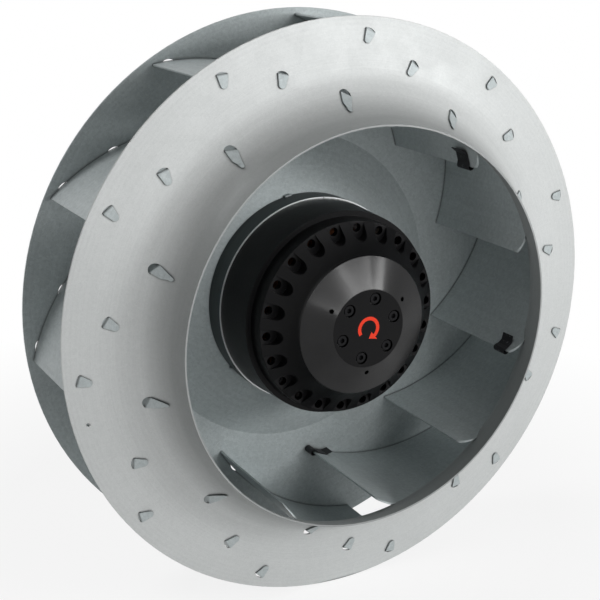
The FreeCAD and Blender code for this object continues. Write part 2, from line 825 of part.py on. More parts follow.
repeat(rotor_bell, [cooling_hole], "size.cooling_count")
screw_turn = "(size.screw_phase - size.cooling_phase)"
counterbore_sketch = across(rotor_bell, "size.plateau_height")
circle(counterbore_sketch, polar("size.screw_place", screw_turn), "size.counterbore_radius")
counterbore = pocket(rotor_bell, counterbore_sketch, "size.counterbore_depth")
repeat(rotor_bell, [counterbore], "size.screw_count")
screw_hole_sketch = across(rotor_bell, "size.plateau_height")
circle(screw_hole_sketch, polar("size.screw_place", screw_turn), "size.screw_radius + size.screw_clearance")
screw_hole = pocket(rotor_bell, screw_hole_sketch, "size.plateau_height - size.boss_inside")
repeat(rotor_bell, [screw_hole], "size.screw_count")
dimple_sketch = across(rotor_bell, "size.plateau_height")
dimple_turn = "(size.dimple_angle - size.cooling_phase)"
circle(dimple_sketch, polar("size.dimple_place", dimple_turn), "size.dimple_radius")
dimple = pocket(rotor_bell, dimple_sketch, "size.dimple_depth")
repeat(rotor_bell, [dimple], "size.dimple_count")

# Rotor core: the laminated ring inside the bell, an air gap away from the stator
rotor_core = new_body("rotor_core")
turn(
    rotor_core,
    [
        ("size.core_radius + size.air_gap", "size.core_back"),
        ("size.rotor_bore", "size.core_back"),
        ("size.rotor_bore", CORE_FRONT),
        ("size.core_radius + size.air_gap", CORE_FRONT),
    ],
)

# Rotor screws: socket heads sunk in the boss, threaded into the shaft's flange
rotor_screws = new_body("rotor_screws", turned("size.screw_phase"))
screw_centre = ("0", "0")
screw_end = "(size.boss_inside - size.screw_engagement)"
shank_sketch = across(rotor_screws, screw_end, "size.screw_place")
circle(shank_sketch, screw_centre, "size.screw_radius")
shank = pad(rotor_screws, shank_sketch, f"{SCREW_SEAT} - {screw_end}")
head_sketch = across(rotor_screws, SCREW_SEAT, "size.screw_place")
circle(head_sketch, screw_centre, "size.screw_head_radius")
head = pad(rotor_screws, head_sketch, "size.screw_head_height")
socket_sketch = across(rotor_screws, f"{SCREW_SEAT} + size.screw_head_height", "size.screw_place")
hexagon(socket_sketch, screw_centre, "size.screw_socket")
socket = pocket(rotor_screws, socket_sketch, "size.screw_socket_depth")
repeat(rotor_screws, [shank, head, socket], "size.screw_count")

# Shaft: a flange under the boss, a shoulder for the front bearing and a groove for the circlip
shaft = new_body("shaft", turned("size.screw_phase"))
flange_back = "size.boss_inside - size.shaft_flange_thickness"
front_seat = "size.front_bearing + size.bearing_width"
groove_radius = "size.shaft_radius - size.circlip_sink"
turn(
    shaft,
    [
        ("0", "size.boss_inside"),
        ("size.shaft_flange_radius", "size.boss_inside"),
        ("size.shaft_flange_radius", flange_back),
        ("size.shaft_shoulder", flange_back),
        ("size.shaft_shoulder", front_seat),
        ("size.shaft_radius", front_seat),
        ("size.shaft_radius", "size.rear_bearing"),
        (groove_radius, "size.rear_bearing"),
        (groove_radius, "size.rear_bearing - size.circlip_thickness"),
        ("size.shaft_radius", "size.rear_bearing - size.circlip_thickness"),
        ("size.shaft_radius", "size.shaft_end + size.circlip_sink"),
        (groove_radius, "size.shaft_end"),
        ("0", "size.shaft_end"),
    ],
)
thread_sketch = across(shaft, "size.boss_inside", "size.screw_place")
circle(thread_sketch, screw_centre, "size.screw_radius")
thread = pocket(shaft, thread_sketch, "size.shaft_flange_thickness")
repeat(shaft, [thread], "size.screw_count")

# Circlip: an open ring in the shaft's groove behind the rear bearing
shaft_circlip = new_body("shaft_circlip")
circlip_back = "size.rear_bearing - size.circlip_thickness"
circlip_radius = "size.shaft_radius + size.circlip_rise"
turn(
    shaft_circlip,
    [
        (groove_radius, circlip_back),
        (circlip_radius, circlip_back),
        (circlip_radius, "size.rear_bearing"),
        (groove_radius, "size.rear_bearing"),
    ],
)
opening_sketch = across(shaft_circlip, "size.rear_bearing")
loop(
    opening_sketch,
    [
        ("0", "-size.circlip_opening / 2"),
        ("size.shaft_radius + size.cut_reach", "-size.circlip_opening / 2"),
        ("size.shaft_radius + size.cut_reach", "size.circlip_opening / 2"),
        ("0", "size.circlip_opening / 2"),
    ],
)
pocket(shaft_circlip, opening_sketch, "size.circlip_thickness")


# Ball bearing: two grooved rings and a row of balls
def make_race(name, seat, face, side, back):
    """A bearing ring between its seat and its face, whose groove lies on one side of the balls."""
    body = new_body(name)
    reach = "(size.ball_radius + size.ball_gap)"
    middle = f"({back} + size.bearing_width / 2)"
    half = f"sqrt({reach} ^ 2 - ({face} - {BALL_PLACE}) ^ 2)"
    turn(
        body,
        [
            (seat, back),
            (face, back),
            (face, f"{middle} - {half}"),
            (face, f"{middle} + {half}", f"{BALL_PLACE} {side} {reach}", middle),
            (face, f"{back} + size.bearing_width"),
            (seat, f"{back} + size.bearing_width"),
        ],
    )
    return body


def make_balls(name, back):
    """The row of balls in the middle of a bearing."""
    body = new_body(name)
    ball = body.newObject("PartDesign::AdditiveSphere", f"{name}_sphere")
    ball.setExpression("Radius", "size.ball_radius")
    origin_plane = next(item for item in body.Origin.OriginFeatures if item.Role == "XZ_Plane")
    ball.AttachmentSupport = [(origin_plane, "")]
    ball.MapMode = "FlatFace"
    ball.setExpression("AttachmentOffset.Base.x", BALL_PLACE)
    ball.setExpression("AttachmentOffset.Base.z", f"{back} + size.bearing_width / 2")
    repeat(body, [ball], "size.ball_count")
    return body


outer_face = "(size.bearing_radius - size.race_wall)"
inner_face = "(size.shaft_radius + size.race_wall)"
outer_rings = []
inner_rings = []
ball_rows = []
for place in ["front", "rear"]:
    back = f"size.{place}_bearing"
    outer_rings.append(make_race(f"{place}_bearing_outer", "size.bearing_radius", outer_face, "+", back))
    inner_rings.append(make_race(f"{place}_bearing_inner", "size.shaft_radius", inner_face, "-", back))
    ball_rows.append(make_balls(f"{place}_bearing_balls", back))

# Stator flange: the mounting disc, the spigot inside the bell and the tube that holds the bearings
stator_flange = new_body("stator_flange")
spigot_radius = "(size.rotor_bore - size.spigot_gap)"
spigot_top = "size.flange_thickness + size.spigot_rise"
spring_seat = "size.rear_bearing + size.bearing_width + size.spring_thickness"
cap_seat = "size.cap_sink + size.cap_thickness"
turn(
    stator_flange,
    [
        ("size.cap_radius", "0"),
        ("size.flange_radius", "0"),
        ("size.flange_radius", "size.flange_thickness"),
        (spigot_radius, "size.flange_thickness"),
        (spigot_radius, spigot_top),
        (f"{spigot_radius} - size.spigot_wall", spigot_top),
        (f"{spigot_radius} - size.spigot_wall", "size.flange_thickness"),
        ("size.tube_radius", "size.flange_thickness"),
        ("size.tube_radius", "size.tube_height"),
        ("size.bearing_radius", "size.tube_height"),
        ("size.bearing_radius", "size.front_bearing"),
        ("size.tube_bore", "size.front_bearing"),
        ("size.tube_bore", spring_seat),
        ("size.bearing_radius", spring_seat),
        ("size.bearing_radius", cap_seat),
        ("size.cap_radius", cap_seat),
    ],
)
bolt_sketch = across(stator_flange, "0")
circle(bolt_sketch, polar("size.bolt_circle / 2", "size.bolt_phase"), "size.bolt_hole_radius")
bolt_hole = pocket(stator_flange, bolt_sketch, "size.bolt_hole_depth", onward=True)
repeat(stator_flange, [bolt_hole], "size.bolt_count")
flat_sketch = new_sketch(stator_flange, "XY_Plane", "-size.flange_radius")
loop(
    flat_sketch,
    [
        ("-size.flange_radius / 2", "-size.flange_thickness"),
        ("size.flange_radius / 2", "-size.flange_thickness"),
        ("size.flange_radius / 2", "0"),
        ("-size.flange_radius / 2", "0"),
    ],
)
pocket(stator_flange, flat_sketch, "size.flat_depth", onward=True)
gland_sketch = new_sketch(stator_flange, "XY_Plane", f"-{FLAT_PLACE}")
circle(gland_sketch, ("0", "-size.flat_height"), "size.gland_thread_radius")
pocket(stator_flange, gland_sketch, "size.gland_thread_length", onward=True)
duct_sketch = across(stator_flange, "size.flange_thickness")
circle(duct_sketch, ("0", "-size.duct_place"), "size.duct_radius")
pocket(stator_flange, duct_sketch, "size.flange_thickness - size.flat_height")
earth_sketch = new_sketch(stator_flange, "XY_Plane", f"-{FLAT_PLACE}")
circle(earth_sketch, ("size.earth_place", "-size.flat_height"), "size.earth_radius")
pocket(stator_flange, earth_sketch, "size.earth_length", onward=True)

# Preload spring: between the tube's inner shoulder and the rear bearing's outer ring
preload_spring = new_body("preload_spring")
spring_back = "size.rear_bearing + size.bearing_width"
turn(
    preload_spring,
    [
        ("size.bearing_radius - size.spring_wall", spring_back),
        ("size.bearing_radius", spring_back),
        ("size.bearing_radius", spring_seat),
        ("size.bearing_radius - size.spring_wall", spring_seat),
    ],
)

# Bearing cap: closes the tube at the mounting face
bearing_cap = new_body("bearing_cap")
turn(
    bearing_cap,
    [
        ("0", "size.cap_sink"),
        ("size.cap_radius", "size.cap_sink"),
        ("size.cap_radius", cap_seat),
        ("0", cap_seat),
    ],
)

# Stator core: the slotted lamination stack on the bearing tube
stator_core = new_body("stator_core")
turn(
    stator_core,
    [
        ("size.tube_radius", "size.core_back"),
        ("size.core_radius", "size.core_back"),
        ("size.core_radius", CORE_FRONT),
        ("size.tube_radius", CORE_FRONT),
    ],
)
slot_sketch = across(stator_core, CORE_FRONT)
slot_bottom = [("size.slot_bottom", f"{side} * size.slot_bottom_width / 2") for side in (1, -1)]
slot_top = [("size.slot_top", f"{side} * size.slot_top_width / 2") for side in (-1, 1)]
mouth_reach = "size.core_radius + size.cut_reach"
mouth_start = [("size.slot_top", "-size.slot_mouth / 2"), (mouth_reach, "-size.slot_mouth / 2")]
mouth_end = [(mouth_reach, "size.slot_mouth / 2"), ("size.slot_top", "size.slot_mouth / 2")]
loop(slot_sketch, slot_bottom + slot_top[:1] + mouth_start + mouth_end + slot_top[1:])
slot = pocket(stator_core, slot_sketch, "size.core_length")
repeat(stator_core, [slot], "size.slot_count")

# Winding: a bar of wire in every slot, joined by the heads in front of the core and behind it
winding = new_body("winding")
head_inner = "(size.slot_bottom + size.winding_gap)"
head_outer = "(size.slot_top - size.winding_gap)"
front_base = f"({CORE_FRONT} + size.winding_gap)"
back_base = "(size.core_back - size.winding_gap)"
for base, way in [(front_base, "+"), (back_base, "-")]:
    crown = f"{base} {way} size.winding_head"
    crown_edge = f"{base} {way} (size.winding_head - size.winding_chamfer)"
    turn(
        winding,
        [
            (head_inner, base),
            (head_outer, base),
            (head_outer, crown_edge),
            (f"{head_outer} - size.winding_chamfer", crown),
            (f"{head_inner} + size.winding_chamfer", crown),
            (head_inner, crown_edge),
        ],
    )
bar_sketch = across(winding, "size.core_back - 2 * size.winding_gap")
bottom_half = "(size.slot_bottom_width / 2 - size.winding_gap)"
top_half = "(size.slot_top_width / 2 - size.winding_gap)"
loop(
    bar_sketch,
    [
        (head_inner, bottom_half),
        (head_inner, f"-{bottom_half}"),
        (head_outer, f"-{top_half}"),
        (head_outer, top_half),
    ],
)
bar = pad(winding, bar_sketch, "size.core_length + 4 * size.winding_gap")
repeat(winding, [bar], "size.slot_count")

# Cable gland: a hexagon body screwed into the flat, its nut and the rubber insert that it squeezes
gland_body = new_body("gland_body", on_flat("0", "size.flat_height"))
neck_end = "size.gland_hexagon_length + size.gland_neck_length"
turn(
    gland_body,
    [
        ("size.gland_bore", "-size.gland_thread_length"),
        ("size.gland_thread_radius", "-size.gland_thread_length"),
        ("size.gland_thread_radius", "size.gland_hexagon_length / 2"),
        ("size.gland_neck_radius", "size.gland_hexagon_length / 2"),
        ("size.gland_neck_radius", neck_end),
        ("size.gland_bore", neck_end),
    ],
)
hexagon_sketch = across(gland_body, "0")
hexagon(hexagon_sketch, ("0", "0"), "size.gland_hexagon")
circle(hexagon_sketch, ("0", "0"), "(size.gland_bore + size.gland_neck_radius) / 2")
pad(gland_body, hexagon_sketch, "size.gland_hexagon_length")

gland_nut = new_body("gland_nut", on_flat("0", "size.flat_height"))
nut_end = "size.gland_hexagon_length + size.gland_nut_length"
turn(
    gland_nut,
    [
        ("size.gland_neck_radius", "size.gland_hexagon_length"),
        ("size.gland_nut_radius", "size.gland_hexagon_length"),
        ("size.gland_nut_radius", f"{nut_end} - size.gland_nut_wall"),
        ("size.gland_nut_radius - size.gland_nut_wall", nut_end),
        ("size.gland_bore", nut_end),
        ("size.gland_bore", f"{nut_end} - size.gland_nut_wall"),
        ("size.gland_neck_radius", f"{nut_end} - size.gland_nut_wall"),
    ],
)

gland_seal = new_body("gland_seal", on_flat("0", "size.flat_height"))
turn(
    gland_seal,
    [
        ("0", "0"),
        ("size.gland_bore", "0"),
        ("size.gland_bore", nut_end),
        ("size.gland_recess_radius", nut_end),
        ("size.gland_recess_radius", f"{nut_end} - size.gland_recess_depth"),
        ("0", f"{nut_end} - size.gland_recess_depth"),
    ],
)

# Earth screw: a slotted pan head beside the gland
earth_screw = new_body("earth_screw", on_flat("size.earth_place", "size.flat_height"))
turn(
    earth_screw,
    [
        ("0", "-size.earth_length"),
        ("size.earth_radius", "-size.earth_length"),
        ("size.earth_radius", "0"),
        ("size.earth_head_radius", "0"),
        ("size.earth_head_radius", "size.earth_head_side"),
        ("size.earth_crown_radius", "size.earth_head_height"),
        ("0", "size.earth_head_height"),
    ],
)
earth_reach = "(size.earth_head_radius + size.cut_reach)"
earth_slot_sketch = across(earth_screw, "size.earth_head_height")
loop(
    earth_slot_sketch,
    [
        (f"-{earth_reach}", "-size.earth_slot / 2"),
        (earth_reach, "-size.earth_slot / 2"),
        (earth_reach, "size.earth_slot / 2"),
        (f"-{earth_reach}", "size.earth_slot / 2"),
    ],
)
pocket(earth_screw, earth_slot_sketch, "size.earth_head_height / 2")

wheel_nodes = [shroud, back_plate] + blades + clips + [hub_collar]
rotor_nodes = [rotor_bell, rotor_core, rotor_screws, shaft, shaft_circlip] + inner_rings + ball_rows
stator_nodes = [stator_flange, preload_spring, bearing_cap, stator_core, winding] + outer_rings
rim_nodes = [gland_body, gland_nut, gland_seal, earth_screw]
nodes = wheel_nodes + rotor_nodes + stator_nodes + rim_nodes

document.recompute()
for item in document.Objects:
    if "Invalid" in item.State or "Error" in item.State:
        raise ValueError(f"{item.Label} is in the state {item.State}")
shapes = {}
for node in nodes:
    shape = Part.getShape(node)
    if shape.isNull() or not shape.isValid():
        raise ValueError(f"{node.Label} has no valid shape")
    shapes[node.Label] = shape

os.makedirs("parts", exist_ok=True)
for name, shape in shapes.items():
    shape.exportStep(f"parts/{name}.step")
print(len(shapes), "nodes written")
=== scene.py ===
import math

import bpy
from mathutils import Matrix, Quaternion, Vector


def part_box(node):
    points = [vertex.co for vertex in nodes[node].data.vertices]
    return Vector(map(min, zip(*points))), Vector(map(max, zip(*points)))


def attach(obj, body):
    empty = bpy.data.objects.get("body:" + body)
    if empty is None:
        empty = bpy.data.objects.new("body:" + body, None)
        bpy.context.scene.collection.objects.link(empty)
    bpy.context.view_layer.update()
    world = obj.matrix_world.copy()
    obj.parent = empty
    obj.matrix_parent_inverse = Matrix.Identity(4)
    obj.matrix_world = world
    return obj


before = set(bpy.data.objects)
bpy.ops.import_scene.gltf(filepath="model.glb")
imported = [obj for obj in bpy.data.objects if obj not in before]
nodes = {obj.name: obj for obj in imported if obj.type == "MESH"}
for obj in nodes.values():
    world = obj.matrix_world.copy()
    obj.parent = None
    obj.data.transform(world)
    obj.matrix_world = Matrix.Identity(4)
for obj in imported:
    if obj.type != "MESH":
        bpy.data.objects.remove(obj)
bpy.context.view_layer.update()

bpy.ops.object.select_all(action="DESELECT")


# ---- Wheel: shroud, back plate and blades ----
# Sheet steel, hot-dip galvanised before it is cut and spun. The zinc has frozen in faint spangles,
# the tools have rubbed it smooth in places, and handling has left fine scratches and dull patches.
# Shade is painted into the sheet's colour as well: darker in corners and seams, and towards the throat's
# bend.
class Channel:
    """A socket of a node, on which arithmetic adds Math nodes."""

    def __init__(self, shading, socket):
        self.shading = shading
        self.socket = socket

    def combine(self, operation, first, second):
        return self.shading.node("Math", {"operation": operation}, {0: first, 1: second})

    def __add__(self, other):
        return self.combine("ADD", self, other)

    def __radd__(self, other):
        return self.combine("ADD", other, self)

    def __sub__(self, other):
        return self.combine("SUBTRACT", self, other)

    def __rsub__(self, other):
        return self.combine("SUBTRACT", other, self)

    def __mul__(self, other):
        return self.combine("MULTIPLY", self, other)

    def __rmul__(self, other):
        return self.combine("MULTIPLY", other, self)

    def __truediv__(self, other):
        return self.combine("DIVIDE", self, other)


class Shading:
    """The nodes of a material or of the world."""

    def __init__(self, tree):
        self.tree = tree

    def node(self, kind, settings=None, sockets=None, output=0):
        """A node by its type, its settings and what its sockets hold, as the channel of one output."""
        made = self.tree.nodes.new(f"ShaderNode{kind}")
        for name, value in (settings or {}).items():
            setattr(made, name, value)
        for name, value in (sockets or {}).items():
            self.feed(made.inputs[name], value)
        return Channel(self, made.outputs[output])

    def outputs(self, kind, sockets=None):
        """A node by its type and what its sockets hold, as the channels of all its outputs by name."""
        made = self.node(kind, None, sockets).socket.node
        return {output.name: Channel(self, output) for output in made.outputs}

    def feed(self, socket, value):
        """Links a channel to a socket, or writes a plain value on it."""
        if isinstance(value, Channel):
            self.tree.links.new(value.socket, socket)
        elif isinstance(value, tuple) and len(value) == 3 and socket.type == "RGBA":
            socket.default_value = (*value, 1.0)
        else:
            socket.default_value = value

    def span(self, value, low, high, start=0.0, end=1.0):
        """A value's stretch from low to high, as start to end and clamped."""
        sockets = {"Value": value, "From Min": low, "From Max": high, "To Min": start, "To Max": end}
        return self.node("MapRange", {"clamp": True}, sockets)


class Finish(Shading):
    """A material on the Principled shader, built up from the object's own coordinates."""

    def __init__(self, name, constants=None):
        self.material = bpy.data.materials.new(name)
        self.material.use_nodes = True
        super().__init__(self.material.node_tree)
        self.shader = self.tree.nodes["Principled BSDF"]
        self.place = self.node("TexCoord", output="Object")
        for socket_name, value in (constants or {}).items():
            self.shader.inputs[socket_name].default_value = value

    def depth(self):
        """The place along the fan's axis, less than nothing towards the inlet."""
        return self.outputs("SeparateXYZ", {"Vector": self.place})["Y"]

    def distance(self, first="X", second="Z"):
        """The distance from an axis, the fan's own by default, by the two coordinates across it."""
        place = self.outputs("SeparateXYZ", {"Vector": self.place})
        squares = place[first] * place[first] + place[second] * place[second]
        return self.node("Math", {"operation": "SQRT"}, {0: squares})

    def stretched(self, scale):
        """The object's coordinates, stretched by a factor along each axis."""
        return self.node("Mapping", None, {"Vector": self.place, "Scale": scale})

    def noise(self, scale, detail=2.0, roughness=0.5, place=None):
        """Smooth noise from 0 to 1, by its cells per metre."""
        fineness = {"Scale": scale, "Detail": detail, "Roughness": roughness}
        return self.node("TexNoise", None, {"Vector": place or self.place, **fineness})

    def blend(self, factor, first, second):
        """Two colours mixed by a factor."""
        return self.node("Mix", {"data_type": "RGBA"}, {0: factor, 6: first, 7: second}, 2)

    def crevices(self, width):
        """From 0 in the open to 1 deep in a corner, by the width that a corner's shade takes."""
        return 1.0 - self.node("AmbientOcclusion", {"samples": 8}, {"Distance": width}, "AO")

    def wear(self, **channels):
        """Feeds the shader's own sockets."""
        for socket_name, value in channels.items():
            self.feed(self.shader.inputs[socket_name.replace("_", " ")], value)

    def bump(self, height, distance, edge):
        """Relief from a height, its full depth in metres, on edges rounded to a radius."""
        soft_edges = self.node("Bevel", {"samples": 4}, {"Radius": edge})
        relief = self.node("Bump", None, {"Height": height, "Distance": distance, "Normal": soft_edges})
        self.wear(Normal=relief)

    def onto(self, *pieces):
        """Gives the finish to pieces, or to nodes by name."""
        for piece in pieces:
            item = nodes[piece] if isinstance(piece, str) else piece
            item.data.materials.clear()
            item.data.materials.append(self.material)


SHADED_ZINC = (0.13, 0.14, 0.14)
CORNER_SHADE = 0.003
THROAT_RADIUS = 0.174
THROAT_SHADE_EDGE = 0.192
SPANGLES_PER_METRE = 430.0
TOOL_WAVER = 0.002


def zinc_finish(name, dull, bright, metallic, spangle, throat_shade):
    """Galvanised sheet between two tones, by the strength of its spangles and of the painted shade at the
    throat's bend.
    """
    zinc = Finish(name, {"Metallic": metallic, "Specular IOR Level": 0.2})
    crystals = zinc.node("TexVoronoi", None, {"Vector": zinc.place, "Scale": SPANGLES_PER_METRE}, "Color")
    flakes = zinc.outputs("SeparateColor", {"Color": crystals})
    clouds = zinc.noise(7.0, 3.0, 0.5)
    grain = zinc.noise(1500.0, 2.0, 0.7)
    rubbed = zinc.noise(40.0, 4.0, 0.6)
    scratches = zinc.noise(120.0, 4.0, 0.7, zinc.stretched((1.0, 14.0, 0.35)))
    scratched = zinc.span(scratches, 0.68, 0.76)

    radius = zinc.distance()
    spun_place = zinc.node("CombineXYZ", None, {0: radius, 1: rubbed * TOOL_WAVER})
    tool_marks = zinc.noise(700.0, 3.0, 0.6, spun_place)
    mottle = 0.5 + (flakes["Red"] - 0.5) * spangle + (grain - 0.5) * 1.1
    tone = mottle + (clouds - 0.5) * 0.6 + (tool_marks - 0.5) * 0.5
    # Painted shade: the sheet darkens towards SHADED_ZINC from the bend's outer edge in to the throat.
    painted_throat_shade = zinc.span(radius, THROAT_SHADE_EDGE, THROAT_RADIUS, 0.0, throat_shade)
    throat_shaded_tone = zinc.blend(painted_throat_shade, zinc.blend(zinc.span(tone, 0.0, 1.0), dull, bright), SHADED_ZINC)
    # Painted shade: the colour darkens towards SHADED_ZINC in corners, seams and round the tabs, where
    # shade falls.
    painted_corner_shade = zinc.span(zinc.crevices(CORNER_SHADE), 0.15, 0.6)

    satin = 0.46 - 0.08 * zinc.span(rubbed, 0.35, 0.7) + 0.06 * (flakes["Green"] - 0.5)
    roughness = satin + 0.1 * (grain - 0.5) - 0.06 * scratched
    zinc.wear(Base_Color=zinc.blend(painted_corner_shade, throat_shaded_tone, SHADED_ZINC), Roughness=roughness)
    zinc.bump(grain * 0.5 + flakes["Green"] * 0.12 - scratched * 0.3, 0.00003, 0.0006)
    return zinc


shroud_zinc = zinc_finish(
    "galvanised_shroud",
    dull=(0.57, 0.59, 0.585),
    bright=(0.77, 0.79, 0.785),
    metallic=0.12,
    spangle=0.14,
    throat_shade=0.5,
)
shroud_zinc.onto("shroud")
# Painted shade: the back plate and blades take darker tones than the shroud's, standing in for the shade
# inside the wheel; their slight blue-green tint is the sheet's own.
plate_zinc_shaded = zinc_finish(
    "galvanised_plate",
    dull=(0.39, 0.435, 0.44),
    bright=(0.62, 0.67, 0.675),
    metallic=0.14,
    spangle=0.3,
    throat_shade=0.0,
)
plate_zinc_shaded.onto("back_plate", *(name for name in nodes if name.startswith("blade_")))

# ---- Balance clips ----
# Small channels of hardened strip, blackened with phosphate and pushed over the blades' inner edges.
# Their bends and corners are rubbed to bare steel.
clip_black = Finish("clip_black", {"Metallic": 0.6})
clip_rub = clip_black.span(clip_black.noise(300.0, 4.0, 0.6), 0.62, 0.75)
clip_tone = clip_black.blend(clip_rub, (0.018, 0.018, 0.02), (0.22, 0.22, 0.23))
clip_black.wear(Base_Color=clip_tone, Roughness=0.42 + 0.15 * clip_black.noise(900.0))
clip_black.bump(clip_black.noise(2500.0), 0.00003, 0.0003)
clip_black.onto(*(name for name in nodes if name.startswith("balance_clip_")))

# ---- Hub collar ----
# A dark strip of rolled steel whose front edge is ground bright. It carries the wheel on the rotor
# and is butted at one seam.
GROUND_WIDTH = 0.0004
GROUND_FADE = 0.0012
collar_steel = Finish("collar_steel", {"Metallic": 0.9})
collar_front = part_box("hub_collar")[0].y
ground_edge = collar_steel.span(
    collar_steel.depth(),
    collar_front + GROUND_FADE,
    collar_front + GROUND_WIDTH,
)
mill_scale = collar_steel.noise(45.0, 4.0, 0.6, collar_steel.stretched((1.0, 5.0, 1.0)))
strip_tone = collar_steel.blend(mill_scale, (0.05, 0.058, 0.058), (0.1, 0.115, 0.115))
collar_steel.wear(
    Base_Color=collar_steel.blend(ground_edge, strip_tone, (0.6, 0.62, 0.62)),
    Roughness=0.42 - 0.12 * ground_edge + 0.1 * mill_scale,
)
collar_steel.bump(collar_steel.noise(1300.0), 0.00002, 0.0003)
collar_steel.onto("hub_collar")

# ---- Rotor bell and its screws ----
# Cast aluminium under black enamel. The enamel is thick and glossy on the turned boss and thinner on
# the rough casting around it. Dust lies in the grain, and the screws were painted over with the bell.
BOSS_FOOT = -0.166
BOSS_CONE = -0.1685
PLATEAU_EDGE = -0.178
PLATEAU_FACE = -0.1782
enamel = Finish("black_enamel", {"Specular IOR Level": 0.12, "Coat Roughness": 0.12})
cast_grain = enamel.noise(420.0, 4.0, 0.6)
orange_peel = enamel.noise(240.0, 1.0)
dust = enamel.span(enamel.noise(900.0, 2.0, 0.7), 0.66, 0.8)
bell_depth = enamel.depth()
boss = enamel.span(bell_depth, BOSS_FOOT, BOSS_CONE)
cone = boss * enamel.span(bell_depth, PLATEAU_FACE, PLATEAU_EDGE)
smear = enamel.span(enamel.noise(22.0, 3.0, 0.6), 0.4, 0.7)
enamel.wear(
    Base_Color=enamel.blend(dust, (0.005, 0.005, 0.0055), (0.022, 0.022, 0.023)),
    Roughness=0.34 - 0.16 * boss + 0.08 * smear + 0.06 * dust,
    Coat_Weight=cone * (0.36 - 0.1 * smear),
)
enamel.bump(cast_grain * (1.0 - 0.85 * boss) + orange_peel * 0.2, 0.0001, 0.0006)
enamel.onto("rotor_bell")

screw_paint = Finish("painted_screw", {"Specular IOR Level": 0.12})
chipped = screw_paint.span(screw_paint.noise(700.0, 3.0, 0.6), 0.6, 0.7)
screw_paint.wear(
    Base_Color=screw_paint.blend(chipped, (0.006, 0.006, 0.007), (0.035, 0.035, 0.037)),
    Roughness=0.34 + 0.12 * screw_paint.noise(1200.0),
)
screw_paint.bump(screw_paint.noise(1500.0), 0.00003, 0.0002)
screw_paint.onto("rotor_screws")

# ---- Arrow ----
# A bent arrow printed in red on thin film and stuck on the boss. It shows the direction of rotation:
# clockwise seen from the inlet.
ARROW_RADIUS = 0.0087
ARROW_STROKE = 0.0031
ARROW_HEAD = 0.0088
ARROW_TAIL_ANGLE = math.radians(212)
ARROW_NECK_ANGLE = math.radians(-50)
ARROW_TIP_ANGLE = math.radians(-88)
ARROW_STEPS = 64
FILM = 0.00015


def on_plateau(radius, angle):
    """A point of the boss's plateau at a radius and an angle seen from the inlet."""
    return Vector((radius * math.cos(angle), plateau, radius * math.sin(angle)))


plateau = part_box("rotor_bell")[0].y
bpy.ops.mesh.primitive_plane_add(size=ARROW_STROKE, location=(0, 0, 0))
arrow = bpy.context.object
arrow.name = "rotation_arrow"
bpy.ops.object.mode_set(mode="EDIT")
bpy.ops.mesh.merge(type="COLLAPSE")
bpy.ops.transform.translate(value=on_plateau(ARROW_RADIUS - ARROW_STROKE / 2, ARROW_TAIL_ANGLE))
across_stroke = on_plateau(ARROW_STROKE, ARROW_TAIL_ANGLE) - on_plateau(0, 0)
bpy.ops.mesh.extrude_region_move(TRANSFORM_OT_translate={"value": across_stroke})
bpy.ops.mesh.select_all(action="SELECT")
sweep = ARROW_NECK_ANGLE - ARROW_TAIL_ANGLE
bpy.ops.mesh.spin(steps=ARROW_STEPS, angle=sweep, center=(0, plateau, 0), axis=(0, 1, 0))
neck = on_plateau(ARROW_RADIUS, ARROW_NECK_ANGLE)
bpy.ops.mesh.extrude_region_move(TRANSFORM_OT_translate={"value": (0, 0, 0)})
bpy.ops.transform.resize(value=(ARROW_HEAD / ARROW_STROKE,) * 3, center_override=neck)
bpy.ops.mesh.extrude_region_move(TRANSFORM_OT_translate={"value": (0, 0, 0)})
bpy.ops.mesh.merge(type="CENTER")
bpy.ops.transform.translate(value=on_plateau(ARROW_RADIUS, ARROW_TIP_ANGLE) - neck)
bpy.ops.mesh.select_all(action="SELECT")
bpy.ops.mesh.remove_doubles(threshold=1e-6)
bpy.ops.mesh.dissolve_degenerate(threshold=1e-7)
bpy.ops.mesh.normals_make_consistent(inside=False)
bpy.ops.object.mode_set(mode="OBJECT")
film = arrow.modifiers.new("film", "SOLIDIFY")
film.thickness = FILM
film.offset = 0
bpy.ops.object.modifier_apply(modifier=film.name)
bpy.ops.object.mode_set(mode="EDIT")
bpy.ops.mesh.select_all(action="SELECT")
bpy.ops.mesh.normals_make_consistent(inside=False)
bpy.ops.object.mode_set(mode="OBJECT")
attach(arrow, "impeller")

red_film = Finish("red_film", {"Roughness": 0.45, "Specular IOR Level": 0.1})
ink = red_film.noise(900.0, 3.0, 0.6)
worn = red_film.span(red_film.noise(420.0, 4.0, 0.7), 0.62, 0.75)
red_ink = red_film.blend(ink, (0.95, 0.045, 0.02), (1.0, 0.08, 0.035))
red_film.wear(Base_Color=red_film.blend(worn, red_ink, (0.8, 0.035, 0.018)))
red_film.bump(ink, 0.00002, 0.0001)
red_film.onto(arrow)
bpy.ops.object.select_all(action="DESELECT")

